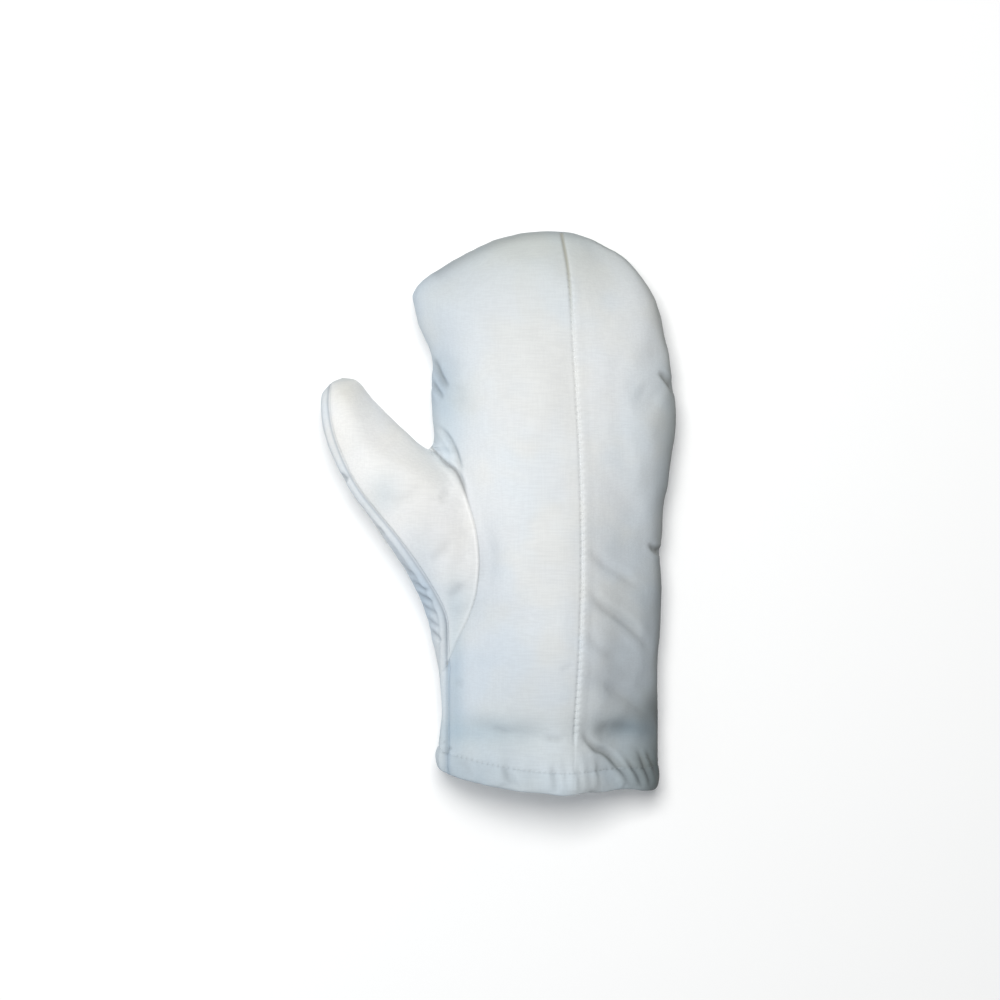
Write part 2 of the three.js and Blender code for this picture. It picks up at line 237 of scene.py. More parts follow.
# %% [markdown]
# Smoothing also wears the form down. What it takes away is smoothed in turn and given back, so that
# the broad shape keeps its size and only the facets go. Near the cuff's edge, where the cloth ends, the
# smoothing is held back. The mitt lies on its back, so whatever sinks below the table is pressed flat.

# %% Smooth the form
RELAX_ROUNDS = 14
CUFF_HOLD = 14.0
WEIGHT_AT_CUFF = np.array([0.3, 0.0, 0.4])


def flatten_on_table(points):
    points[:, 2] = np.maximum(points[:, 2], 0)
    return points


def cuff_distance(points):
    """Height of each point above the cuff's edge line, measured along the mitt."""
    return points[:, 1] - np.interp(points[:, 0], cuff_edge[:, 0], cuff_edge[:, 1])


points = read_points(form.data)
edges = read_edges(form.data)
freedom = np.clip(cuff_distance(points) / CUFF_HOLD, 0, 1)[:, None]
weight = WEIGHT_AT_CUFF + (1 - WEIGHT_AT_CUFF) * freedom
smoothed = relax(points, edges, weight, RELAX_ROUNDS)
given_back = relax(points - smoothed, edges, weight, RELAX_ROUNDS)
points = flatten_on_table(smoothed + given_back)
print("smoothed form reaches", points.min(0).round(1), points.max(0).round(1))

# %% [markdown]
# A soft mitt doesn't hold its shape by itself. Its outer half hangs down from the ridge of the centre
# seam to the side, and the palm sags a little above the hem. Both plies sag together, so the padding
# keeps its thickness.

# %% Sag of the palm
OUTER_SAG = {"from_seam": 1.0, "across": 43.0, "power": 1.5}
OUTER_SAG_DEPTH = {"between": (-10.0, 70.0), "depths": (6.0, 3.5)}
CUFF_SAG = {"height": 2.4, "middle": 29.0, "width": 13.0}
PALM_LEVEL = (SEAM_LEVEL, SEAM_LEVEL + 10)


def sag_of_palm(points):
    across, _ = measure_from(centre_seam, points)
    share = np.clip((across - OUTER_SAG["from_seam"]) / OUTER_SAG["across"], 0, 1)
    depth = np.interp(points[:, 1], *OUTER_SAG_DEPTH.values())
    depth *= np.sin(math.pi * share) ** OUTER_SAG["power"]
    depth += hump(cuff_distance(points), **CUFF_SAG)
    return depth * soft_step(points[:, 2], *PALM_LEVEL)


sag = sag_of_palm(points)
points[:, 2] -= sag
write_points(form.data, points)
print("palm sags up to", sag.max().round(1), "mm")

# %% [markdown]
# Seams, folds and stitches show on the outer cloth and not on the lining. The two meet at the cuff's
# rim, so a walk over the mesh that starts at the fingertips and never crosses the rim finds the outer
# cloth. The result is kept as an attribute, which later subdivision carries along.

# %% Mark the outer cloth
RIM_REACH = 9.0
RIM_TURN = -0.55


def outer_cloth(points, normals, edges):
    rim = (cuff_distance(points) < RIM_REACH) & (normals[:, 1] < RIM_TURN)
    paths = edges[~rim[edges].any(axis=1)]
    reached = np.zeros(len(points), bool)
    reached[np.argmax(points[:, 1])] = True
    count = 0
    while reached.sum() > count:
        count = reached.sum()
        reached[paths[reached[paths].any(axis=1)].ravel()] = True
    return np.where(rim, 0.5, reached)


def keep_attribute(mesh, name, values):
    layer = mesh.attributes.get(name) or mesh.attributes.new(name, "FLOAT", "POINT")
    layer.data.foreach_set("value", np.asarray(values, np.float32))


def read_attribute(mesh, name):
    values = np.empty(len(mesh.vertices), np.float32)
    mesh.attributes[name].data.foreach_get("value", values)
    return values.astype(np.float64)


outside = outer_cloth(points, read_normals(form.data), edges)
keep_attribute(form.data, "outside", outside)
print("outer cloth has", int((outside == 1).sum()), "of", len(points), "points")

# %% [markdown]
# ## Swelling and puckers
# In a sewn mitt the seams are tight and the wadding pushes the cloth out between them. A cloth
# simulation does just that: the seams are pinned, air pressure stands for the wadding, and the cloth is
# a little larger than the form so that it puckers where it is held. Padded cloth shows no sharp
# wrinkles, so the movement is softened, and how far a point may move is capped, more outwards than
# into the hollow, where the hand goes.

# %% Distance from the seams
SEAM_FAR = 60.0


def seam_distance(points):
    """Distance from each point to the nearest seam, along the surface as seen in plan."""
    above = points[:, 2] > SEAM_LEVEL
    nearest = np.full(len(points), SEAM_FAR)
    for line in (centre_seam, thumb_set_seam, thumb_welt_seam, side_seam):
        signed, _ = measure_from(line, points)
        nearest = np.where(above, np.minimum(nearest, np.abs(signed)), nearest)
    nearest = np.minimum(nearest, np.abs(points[:, 2] - SEAM_LEVEL))
    return np.minimum(nearest, np.abs(cuff_distance(points) - HEM_HEIGHT))


# %% Run the cloth simulation
SWELL_FRAMES = 20
SWELL_PRESSURE = 2.5
CLOTH_EASE = -0.012
CLOTH_QUALITY = 6
CLOTH_MASS = 0.3
PIN_CORE = 1.5
PIN_REACH = 6.0
OUTER_SWELL = 2.6
LINING_SWELL = 2.0
SOFTEN_ROUNDS = 6
TINY = 1e-9


def pin_at_seams(piece, distance):
    pins = piece.vertex_groups.new(name="held at the seams")
    grip = np.clip((PIN_REACH - distance) / (PIN_REACH - PIN_CORE), 0, 1)
    for index in np.flatnonzero(grip):
        pins.add([int(index)], grip[index], "REPLACE")
    return pins.name


def swell(piece, pins):
    cloth = piece.modifiers.new("swelling", "CLOTH")
    cloth.settings.quality = CLOTH_QUALITY
    cloth.settings.mass = CLOTH_MASS
    cloth.settings.use_pressure = True
    cloth.settings.uniform_pressure_force = SWELL_PRESSURE
    cloth.settings.vertex_group_mass = pins
    cloth.settings.shrink_min = CLOTH_EASE
    cloth.settings.effector_weights.gravity = 0
    cloth.collision_settings.use_collision = False
    cloth.point_cache.frame_end = SWELL_FRAMES
    for frame_number in range(1, SWELL_FRAMES + 1):
        bpy.context.scene.frame_set(frame_number)
    select_only(piece)
    bpy.ops.object.modifier_apply(modifier=cloth.name)
    bpy.context.scene.frame_set(1)


before = points
swell(form, pin_at_seams(form, seam_distance(before)))
moved = relax(read_points(form.data) - before, edges, 1.0, SOFTEN_ROUNDS)
reach = np.linalg.norm(moved, axis=1)
cap = np.where(outside > 0.5, OUTER_SWELL, LINING_SWELL)
points = before + moved * (np.minimum(reach, cap) / np.maximum(reach, TINY))[:, None]
points = flatten_on_table(points)
write_points(form.data, points)
print("cloth moved", reach.mean().round(2), "mm on average,", reach.max().round(2), "at most")

# %% Subdivide the form to a millimetre
SUBDIVISIONS = 2

select_only(form)
smooth = form.modifiers.new("fine cloth", "SUBSURF")
smooth.levels = smooth.render_levels = SUBDIVISIONS
bpy.ops.object.modifier_apply(modifier=smooth.name)
print("fine form has", len(form.data.polygons), "faces")

# %% [markdown]
# The remeshed form is too blunt in the crotch, where the thumb leaves the hand. There the side of the
# hand is moved over towards the thumb, so that the two meet in a narrow V. The thumb's tip is a little
# too pointed, so the shoulder beside it is moved out and the point itself is relaxed. The outer side
# above the cuff and the corner of the fingertips, both a little too slim, are moved out as well.

# %% Narrow the crotch and round the thumb's tip
CROTCH_MOVES = {
    "at": (33.0, 37.5, 48.0, 65.0, 77.0, 86.0),
    "towards_thumb": (0.0, 4.6, 4.4, 3.4, 1.8, 0.0),
}
HAND_SIDE = {"moves_all": -33.0, "moves_none": -14.0}
THUMB_EDGE = [(-39.6, 33.0), (-38.4, 37.5), (-45.0, 48.0), (-60.0, 90.0)]
TIP_SHOULDER = {"middle": (-83.0, 76.0), "moves": (1.0, 1.8), "width": 9.0}
CUFF_WAIST = {"middle": (98.0, -121.0), "moves": (1.2, 0.0), "width": 17.0}
FINGER_CORNER = {"middle": (76.0, 148.0), "moves": (0.8, 1.0), "width": 15.0}
THUMB_TIP = {"middle": (-92.0, 79.0), "width": 5.0, "rounds": 60}


def narrow_crotch(points):
    edge = np.array(THUMB_EDGE)
    beside = points[:, 0] > np.interp(points[:, 1], edge[:, 1], edge[:, 0])
    reach = np.interp(points[:, 1], *CROTCH_MOVES.values(), left=0, right=0)
    share = 1 - soft_step(points[:, 0], HAND_SIDE["moves_all"], HAND_SIDE["moves_none"])
    return reach * share * beside


points = read_points(form.data)
shift = narrow_crotch(points)
points[:, 0] -= shift
for moved in (TIP_SHOULDER, CUFF_WAIST, FINGER_CORNER):
    apart = np.linalg.norm(points[:, :2] - moved["middle"], axis=1)
    points[:, :2] += hump(apart, moved["width"])[:, None] * moved["moves"]
apart = np.linalg.norm(points[:, :2] - THUMB_TIP["middle"], axis=1)
pointed = hump(apart, THUMB_TIP["width"])[:, None]
points = relax(points, read_edges(form.data), pointed, THUMB_TIP["rounds"])
write_points(form.data, points)
print("crotch narrowed by up to", shift.max().round(1), "mm")

# %% [markdown]
# ## Seams, folds and puckers
# The fine shape of the cloth is worked in after the simulation, by moving each point along its own
# normal. A seam is a narrow groove with a soft dip beside it. The centre seam is also topstitched: the
# seam allowance lies folded under the outer half, where it makes a raised strip, and every stitch pulls
# the strip down a little. This needs a finer mesh near the seams than elsewhere, and the finest one
# where the stitches are.

# %% Refine the cloth along the seams
REFINED = [
    # seam, reach to either side
    (centre_seam, 7.0),
    (centre_seam, 3.2),
    (thumb_welt_seam, 3.0),
    (side_seam, 3.0),
    (thumb_set_seam, 3.0),
]
WHOLLY_OUTSIDE = 0.9


def refine_near(piece, line, width):
    places = read_points(piece.data)
    signed, _ = measure_from(line, places)
    chosen = (np.abs(signed) < width) & (places[:, 2] > SEAM_LEVEL)
    chosen &= read_attribute(piece.data, "outside") > WHOLLY_OUTSIDE
    fine = bmesh.new()
    fine.from_mesh(piece.data)
    near = [edge for edge in fine.edges if chosen[edge.verts[0].index] and chosen[edge.verts[1].index]]
    bmesh.ops.subdivide_edges(fine, edges=near, cuts=1, use_grid_fill=True)
    fine.to_mesh(piece.data)
    fine.free()


for line, width in REFINED:
    refine_near(form, line, width)
print("form now has", len(form.data.polygons), "faces")


# %% Unevenness of padding
WAVES = 28
WAVE_SIZES = (0.7, 1.5)


def unevenness(points, size, seed, stretch=(1, 1, 1)):
    """A smooth random height between about -1 and 1, from a few dozen waves of roughly one size."""
    rng = np.random.default_rng(seed)
    total = np.zeros(len(points))
    for _ in range(WAVES):
        heading = rng.normal(size=3)
        heading /= np.linalg.norm(heading)
        pace = 2 * math.pi / (size * rng.uniform(*WAVE_SIZES))
        total += np.sin((points / stretch) @ heading * pace + rng.uniform(0, 2 * math.pi))
    return total / math.sqrt(WAVES / 2) / 2


# %% Where the fine shape is worked in
OUTER_CLOTH = (0.6, 1.0)
FACING_UP = (-0.1, 0.3)
PALM_EDGE_LEVEL = (SEAM_LEVEL - 7, SEAM_LEVEL - 3)

cloth_points = read_points(form.data)
cloth_normals = read_normals(form.data)
cloth_outside = soft_step(read_attribute(form.data, "outside"), *OUTER_CLOTH)
upward = soft_step(cloth_normals[:, 2], *FACING_UP)
palm_share = cloth_outside * upward * soft_step(cloth_points[:, 2], *PALM_EDGE_LEVEL)
palm = np.flatnonzero(palm_share)
palm_points = cloth_points[palm]
print("palm side has", len(palm), "points")

# %% Centre seam with its topstitched strip
HIDDEN_IN_HEM = {"between": (-137.0, -131.0), "shares": (0.2, 1.0)}
STITCHED_TOP = 141.0
STITCHED_END = -132.0
STITCHES_FADE = 3
GROOVE = {"height": -0.5, "width": 1.1}
DIP = {"height": -0.4, "width": 6.0}
STRIP = {"height": 0.8, "start": 0.8, "rise": 0.8, "end": 4.8, "fall": 3.0}
STRIP_FLATTENS = {"between": (-70.0, 40.0), "heights": (1.0, 0.6)}
HOLE = {"depth": 0.45, "middle": 0.2, "width": 0.8}
PUFF = {"height": 0.16, "middle": 1.3, "width": 0.9}


def step_about(values, middle, half_width):
    return soft_step(values, middle - half_width, middle + half_width)


def centre_seam_height(points):
    across, along = measure_from(centre_seam, points)
    height = hump(across, **GROOVE) + hump(across, **DIP)
    strip = step_about(across, STRIP["start"], STRIP["rise"])
    strip *= 1 - step_about(across, STRIP["end"], STRIP["fall"])
    height += STRIP["height"] * strip * np.interp(points[:, 1], *STRIP_FLATTENS.values())
    height *= np.interp(points[:, 1], *HIDDEN_IN_HEM.values())
    stitched = step_about(points[:, 1], STITCHED_END, STITCHES_FADE)
    stitched *= 1 - step_about(points[:, 1], STITCHED_TOP, STITCHES_FADE)
    beat = np.cos(2 * math.pi * along / STITCH_PITCH)
    pull = HOLE["depth"] * stitched * np.clip(beat, 0, 1) ** 2
    height -= pull * hump(across, HOLE["width"], HOLE["middle"])
    return height - PUFF["height"] * stitched * beat * hump(across, PUFF["width"], PUFF["middle"])


height = np.zeros(len(cloth_points))
height[palm] = centre_seam_height(palm_points)
print("centre seam from", height.min().round(2), "to", height.max().round(2), "mm")

# %% [markdown]
# The thumb's front is set into the palm with a plain seam, whose edge shows as a fine ridge with the
# palm a little lower beside it. Its outer side is sewn to the thumb's back, which rolls round it like
# a piping. Below the thumb, the back panel rolls round the palm's edge in the same way.

# %% Thumb seams and rolled edges
ROLL = {"height": 1.4, "middle": 2.6, "width": 1.6}
WELT_GROOVE = {"height": -1.7, "width": 0.8}
SET_GROOVE = {"height": -0.2, "width": 0.7}
SET_RIDGE = {"height": 0.5, "middle": -0.9, "width": 0.8}
SET_DIP = {"height": -0.9, "middle": 3.0, "width": 4.5}


def seam_height(line, points, *shapes):
    across, _ = measure_from(line, points)
    return sum(hump(across, **shape) for shape in shapes)


height[palm] += seam_height(thumb_set_seam, palm_points, SET_GROOVE, SET_RIDGE, SET_DIP)
height[palm] += seam_height(rolled_seam, palm_points, WELT_GROOVE, ROLL)
print("with thumb seams from", height.min().round(2), "to", height.max().round(2), "mm")

# %% [markdown]
# Cloth that has been worn and laid down keeps a few folds: valleys that run from the seam out to the
# side, a deep crease across the cuff's corner, wrinkles across the thumb's bent piping and soft dents
# beside the thumb. Each is a line on the palm with a depth and a width, and it fades out at both ends.
# The cloth pushed aside by a valley stands up a little on both sides of it.

# %% Folds of the palm and the thumb
FOLDS = [
    # line on the palm, depth, width
    ([(50, -19), (60.4, -30.2), (70.7, -36.6), (79, -42.7), (90, -48)], 1.3, 2.8),
    ([(51, -44), (60.4, -55), (69.7, -61.2), (79, -69.4), (92, -84)], 2.0, 2.7),
    ([(50, -68), (56.5, -76.5), (63.3, -82.3), (75, -88)], 1.0, 3.2),
    ([(52, -93), (66.6, -103.4), (76.8, -110.5), (85, -117.8), (102, -128)], 2.0, 4.0),
    ([(47.1, -126), (51.2, -132), (56.3, -137.3), (62.5, -140.4), (69.8, -147.6), (79, -163)], 2.4, 1.9),
    ([(80, -137.3), (84.1, -145.5), (87.2, -152.7), (89.1, -163)], 1.6, 1.4),
    ([(85, -138.3), (89.1, -145.5), (92.8, -157)], 1.4, 1.4),
    ([(73.5, -143), (80.9, -153.8), (85, -163)], 1.5, 1.4),
    ([(54, -124), (66, -129), (82, -128)], 1.8, 5.0),
    ([(86.5, -18), (92, -22.5), (103, -25)], 2.2, 1.7),
    ([(84, -34), (89, -60), (88, -100)], 0.8, 6.0),
    ([(92, 82), (97.5, 78), (105, 68)], 2.0, 1.7),
    ([(80, 73), (88, 68), (96, 64)], 1.1, 7.0),
    ([(-39, 91), (-35, 80), (-29, 70)], 2.2, 1.7),
    ([(-40, 77), (-36.5, 71), (-32, 65)], 1.6, 1.5),
    ([(-23.3, 76), (-24.2, 66), (-24, 57)], 1.2, 4.6),
    ([(-28.7, 92), (-28, 84), (-27.4, 76)], 0.8, 4.0),
    ([(-38.5, 52), (-32, 46), (-27.5, 39), (-24.3, 29), (-22, 19)], 1.5, 1.5),
    ([(-39.5, 38), (-31.6, 29), (-25.7, 23.6), (-21.6, 16.5), (-18.4, 6)], 1.7, 1.4),
    ([(-8.5, -8), (-5, -28), (-8, -48)], 1.3, 5.0),
    ([(8, -60), (23, -62.5), (38, -62)], 0.8, 4.0),
    ([(34, -92), (39, -91), (44, -89)], 0.3, 2.0),
    ([(-28, -100), (-24, -100.5), (-19, -100)], 0.6, 2.4),
    ([(-29, -121), (-10, -126), (10, -130), (39, -132.5)], 1.3, 5.0),
    ([(-6, -125.5), (1, -128.5), (9, -130.5)], 0.7, 2.2),
    ([(25, -131.5), (32, -132.5), (39.5, -132.6)], 0.8, 1.8),
    ([(-29, -136), (-30.6, -139), (-32.5, -142)], 1.1, 1.4),
    ([(2, -145), (6, -153), (13, -165)], 1.1, 2.2),
    ([(-24, -140), (-19, -148), (-15, -158)], 0.8, 2.6),
    ([(30, -146), (33, -155), (34, -166)], 0.6, 1.8),
    ([(-67, 5), (-53, 7.4), (-41.6, 18.6)], 0.8, 3.4),
    ([(-35, 5), (-31, 9), (-27, 14)], 0.8, 2.8),
    ([(-41, -31), (-33, -24), (-26, -16)], 1.0, 3.2),
    ([(-30, -53), (-24, -47.5), (-18, -40.8)], 1.2, 3.8),
    ([(-93, 23), (-87.3, 17.3)], 1.6, 1.8),
    ([(-71, -8), (-65.5, -14)], 1.0, 1.4),
    ([(-59, -28), (-53.3, -34.9), (-46.8, -37.8)], 1.2, 1.3),
    ([(-52, -40), (-43.9, -44.8), (-38.4, -46)], 1.3, 1.2),
    ([(-50.5, -46), (-43.3, -50.7), (-36, -52.4)], 1.3, 1.3),
    ([(-46.5, -53.5), (-39.8, -58.3), (-34.3, -59.5)], 1.0, 1.3),
    ([(-43, -61), (-38, -65.9), (-33.7, -67.7)], 1.1, 1.2),
    ([(-41.5, -68), (-36.3, -73), (-31.4, -75.9)], 1.4, 1.3),
]
FOLD_FADE = 0.35
FOLD_SHOULDER = {"height": 0.15, "middle": 2.1, "width": 0.9}
FOLD_STEPS = 5
CREASE_WIDTH = 1.8


def fold_height(points, line, depth, width):
    line = smooth_line(line, FOLD_STEPS)
    length = np.linalg.norm(np.diff(line, axis=0), axis=1).sum()
    across, along = measure_from(line, points)
    fade = FOLD_FADE * length
    ends = soft_step(along, -0.1, fade) * (1 - soft_step(along, length - fade, length + 0.1))
    across = np.abs(across)
    shoulder = hump(across, FOLD_SHOULDER["width"] * width, FOLD_SHOULDER["middle"] * width)
    return depth * ends * (FOLD_SHOULDER["height"] * shoulder - hump(across, width))


folded = np.zeros(len(palm))
creased = np.zeros(len(palm))
for line, depth, width in FOLDS:
    fold = fold_height(palm_points, line, depth, width)
    folded += fold
    creased += np.clip(-fold, 0, None) * min(1, (CREASE_WIDTH / width) ** 2)
height[palm] += folded
height *= palm_share
valley = np.zeros(len(cloth_points))
valley[palm] = creased
keep_attribute(form.data, "valley", valley * palm_share)
print(len(FOLDS), "folds, the deepest", folded.min().round(2), "mm")

# %% [markdown]
# The hem is a turned-in edge with one row of stitches. The row pulls the cloth in, so the hem bulges
# on both sides of it and is gathered in small wrinkles that run along the mitt. The seam that joins
# palm and back is a shallow groove round the side. The whole cloth is also slightly uneven, because
# wadding never lies quite flat.

# %% Hem, side and unevenness
HEM_GROOVE = {"height": -0.4, "width": 1.2}
HEM_BULGE = {"height": 0.7, "middle": -6.5, "width": 4.5}
GATHERS = {"height": 0.8, "size": 9.0, "middle": -2.0, "reach": 9.0}
HEM_WAVE = {"height": 1.0, "size": 26.0, "reach": 7.0}
LUMPS = [(0.2, 42.0), (0.06, 15.0)]
ALONG_MITT = (1, 4.5, 1)
EDGE_SEAM = {"depth": 0.8, "width": 1.2, "above_hem": 3.0}
TURNED_UP = (0.4, 0.8)


def hem_height(points):
    above = cuff_distance(points) - HEM_HEIGHT
    height = hump(above, **HEM_GROOVE) + hump(above, **HEM_BULGE)
    gathered = unevenness(points, GATHERS["size"], seed=3, stretch=ALONG_MITT)
    return height + GATHERS["height"] * gathered * hump(above, GATHERS["reach"], GATHERS["middle"])


def edge_seam_height(points, normals):
    """The seam of palm and back, which runs level round the mitt's side from the cuff to the crotch."""
    from_rolled, _ = measure_from(rolled_seam, points)
    sewn = (from_rolled < 0) & (cuff_distance(points) > HEM_HEIGHT + EDGE_SEAM["above_hem"])
    sideways = 1 - soft_step(np.abs(normals[:, 2]), *TURNED_UP)
    return -EDGE_SEAM["depth"] * sewn * sideways * hump(points[:, 2] - SEAM_LEVEL, EDGE_SEAM["width"])


height += cloth_outside * (hem_height(cloth_points) + edge_seam_height(cloth_points, cloth_normals))
for seed, (lift, size) in enumerate(LUMPS):
    height += cloth_outside * lift * unevenness(cloth_points, size, seed=seed + 11)

cloth_points += cloth_normals * height[:, None]
edge_wave = HEM_WAVE["height"] * unevenness(cloth_points, HEM_WAVE["size"], seed=5)
cloth_points[:, 1] += edge_wave * hump(cuff_distance(cloth_points), HEM_WAVE["reach"])
write_points(form.data, flatten_on_table(cloth_points))
print("cloth raised or sunk by", height.min().round(2), "to", height.max().round(2), "mm")

# %% [markdown]
# ## Panels
# The finished form is cut along the seams, with upright cutting blocks in the outline of each panel:
# the hem first, then the thumb's front and back, then the palm, and what is left is the back. The
# cuts are hairline, because the cloth of two panels touches at a seam.

# %% Cutting blocks
CUT = 0.03
PAST_TIP = np.array(PAST_THUMB_TIP, float)


def grown(outline, margin):
    """The outline moved outwards by a margin, corner by corner."""
    nexts = np.roll(outline, -1, axis=0)
    area = (outline[:, 0] * nexts[:, 1] - nexts[:, 0] * outline[:, 1]).sum() / 2
    edges = nexts - outline
    edges /= np.linalg.norm(edges, axis=1)[:, None]
    square = np.stack([edges[:, 1], -edges[:, 0]], axis=1)
    corner = square + np.roll(square, 1, axis=0)
    reach = 2 * margin * np.sign(area) / (corner**2).sum(axis=1)
    return outline + corner * reach[:, None]


def cutting_block(outline, bottom):
    rim = bmesh.new()
    corners = [rim.verts.new((x * MM, y * MM, bottom * MM)) for x, y in outline]
    base = rim.faces.new(corners)
    top = bmesh.ops.extrude_face_region(rim, geom=[base])["geom"]
    raised = [part for part in top if isinstance(part, bmesh.types.BMVert)]
    bmesh.ops.translate(rim, vec=(0, 0, (TALL - bottom) * MM), verts=raised)
    bmesh.ops.triangulate(rim, faces=rim.faces[:])
    bmesh.ops.recalc_face_normals(rim, faces=rim.faces[:])
    mesh = bpy.data.meshes.new("cutting_block")
    rim.to_mesh(mesh)
    rim.free()
    return into_scene(bpy.data.objects.new("cutting_block", mesh))


def cut(piece, outline, bottom, operation):
    block = cutting_block(outline, bottom)
    trim = piece.modifiers.new("cut", "BOOLEAN")
    trim.operation = operation
    trim.solver = "MANIFOLD"
    trim.object = block
    select_only(piece)
    bpy.ops.object.modifier_apply(modifier=trim.name)
    bpy.data.objects.remove(block)


def take_panel(name, cloth, outline, bottom):
    """Cuts a new panel out of the cloth, which keeps the rest."""
    panel = into_scene(cloth.copy())
    panel.data = cloth.data.copy()
    panel.name = panel.data.name = name
    cut(panel, outline, bottom, "INTERSECT")
    cut(cloth, grown(outline, CUT), bottom - CUT, "DIFFERENCE")
    print(name, "has", len(panel.data.polygons), "faces")
    return panel


# %% Cut the panels
def corners_of(*lines):
    return np.vstack([np.array(line, float) for line in lines])


hem_line = cuff_edge + (0, HEM_HEIGHT)
hem_outline = corners_of(
    hem_line, [(FAR, hem_line[-1, 1]), (FAR, -FAR), (-FAR, -FAR), (-FAR, hem_line[0, 1])]
)
thumb_front_outline = corners_of(thumb_set_seam[:-1], thumb_welt_seam, PAST_TIP)
thumb_outside = [(-FAR, THUMB_BACK_SEAM[-1][1]), (-FAR, PAST_THUMB_TIP[0][1])]
thumb_outline = corners_of(thumb_set_seam, THUMB_BACK_SEAM[1:], thumb_outside, PAST_TIP)
palm_outline = corners_of(
    THUMB_BACK_SEAM, [(-FAR, THUMB_BACK_SEAM[-1][1]), (-FAR, FAR), (FAR, FAR)],
    [(FAR, -FAR), (LOWER_SEAM_X, -FAR)],
)
outer_half_outline = corners_of(centre_seam, [(FAR, -FAR), (FAR, FAR)])

hem_band = take_panel("hem", form, hem_outline, -TALL)
thumb_front = take_panel("thumb_front_panel", form, thumb_front_outline, SEAM_LEVEL)
thumb_back = take_panel("thumb_back_panel", form, thumb_outline, -TALL)
palm_thumb_half = take_panel("palm_panel_thumb_side", form, palm_outline, SEAM_LEVEL)
palm_outer_half = take_panel("palm_panel_outer_side", palm_thumb_half, outer_half_outline, -TALL)
back_panel = form
back_panel.name = back_panel.data.name = "back_of_hand_panel"
print("back panel has", len(back_panel.data.polygons), "faces")

# %% Close pinholes and shade the panels smoothly
EDGE_ANGLE = math.radians(60)
PINHOLE_ROUNDS = 3
NO_LENGTH = 1e-7
PANELS = [hem_band, thumb_front, thumb_back, palm_thumb_half, palm_outer_half, back_panel]


def faulty_edges(mesh):
    """Edges with a hole beside them, and edges that join the same two points as another edge."""
    seen = set()
    faulty = []
    for edge in mesh.edges:
        ends = frozenset(point.index for point in edge.verts)
        if ends in seen or not edge.is_manifold:
            faulty.append(edge)
        seen.add(ends)
    return faulty


def close_pinholes(panel):
    """Draws each tiny flaw that a cut has left together into a point."""
    mesh = bmesh.new()
    mesh.from_mesh(panel.data)
    found = len(faulty_edges(mesh))
    for _ in range(PINHOLE_ROUNDS):
        mesh.verts.index_update()
        bmesh.ops.collapse(mesh, edges=faulty_edges(mesh))
        bmesh.ops.dissolve_degenerate(mesh, edges=mesh.edges, dist=NO_LENGTH)
    mesh.verts.index_update()
    print(panel.name, "had", found, "faulty edges and has", len(faulty_edges(mesh)))
    mesh.to_mesh(panel.data)
    mesh.free()


for panel in PANELS:
    close_pinholes(panel)
    panel.vertex_groups.clear()
    if "custom_normal" in panel.data.attributes:
        panel.data.attributes.remove(panel.data.attributes["custom_normal"])
    select_only(panel)
    bpy.ops.object.shade_smooth_by_angle(angle=EDGE_ANGLE)
    panel.data.validate()

# %% [markdown]
# ## Stitches
# A stitch is a short length of thread that dives into the cloth at both ends. One is modelled from a
# sphere, drawn out along its length, and copied along each row, turned to follow the seam and the
# slope of the cloth. To find the cloth, a ray is sent at it from outside.

# %% One stitch
THREAD_THICKNESS = 0.55
STITCH_SEGMENTS = 8
STITCH_RINGS = 6


def one_stitch(length, thickness):
    bpy.ops.object.select_all(action="DESELECT")
    bpy.ops.mesh.primitive_uv_sphere_add(
        segments=STITCH_SEGMENTS, ring_count=STITCH_RINGS, radius=0.5 * MM
    )
    stitch = bpy.context.object
    bpy.ops.object.mode_set(mode="EDIT")
    bpy.ops.mesh.select_all(action="SELECT")
    bpy.ops.transform.rotate(value=math.pi / 2, orient_axis="Y", center_override=(0, 0, 0))
    bpy.ops.transform.resize(value=(length, thickness, thickness), center_override=(0, 0, 0))
    bpy.ops.object.mode_set(mode="OBJECT")
    return stitch


# %% Helpers to lay a row of stitches on the cloth
def evenly_along(line, pitch, start=0.0):
    steps = np.linalg.norm(np.diff(line, axis=0), axis=1)
    travelled = np.concatenate([[0], np.cumsum(steps)])
    stops = np.arange(start, travelled[-1], pitch)
    return np.stack([np.interp(stops, travelled, line[:, axis]) for axis in range(line.shape[1])], axis=1)


def cloth_tree(pieces):
    whole = bmesh.new()
    for piece in pieces:
        whole.from_mesh(piece.data)
    tree = BVHTree.FromBMesh(whole)
    whole.free()
    return tree


def lay_stitches(name, length, spots):
    """Lays a stitch at each spot, which is a place, the outward direction and the way it points."""
    pattern = one_stitch(length, THREAD_THICKNESS)
    copies = []
    for place, outwards, heading in spots:
        side = outwards.cross(heading).normalized()
        ahead = side.cross(outwards).normalized()
        turned = Matrix((ahead, side, outwards)).transposed().to_4x4()
        copy = into_scene(pattern.copy())
        copy.data = pattern.data.copy()
        copy.data.transform(Matrix.Translation(place) @ turned)
        copies.append(copy)
    bpy.data.objects.remove(pattern)
    select_only(*copies)
    bpy.ops.object.join()
    row = bpy.context.object
    row.name = row.data.name = name
    write_points(row.data, flatten_on_table(read_points(row.data)))
    select_only(row)
    bpy.ops.object.shade_smooth()
    print(name, "has", len(row.data.polygons), "faces")
    return row


# %% Stitches of the centre seam
STITCH_LENGTH = 2.7
SEAM_STITCH_INSET = 0.95
STITCH_SINK = 0.1
STITCH_TURN = math.radians(7)


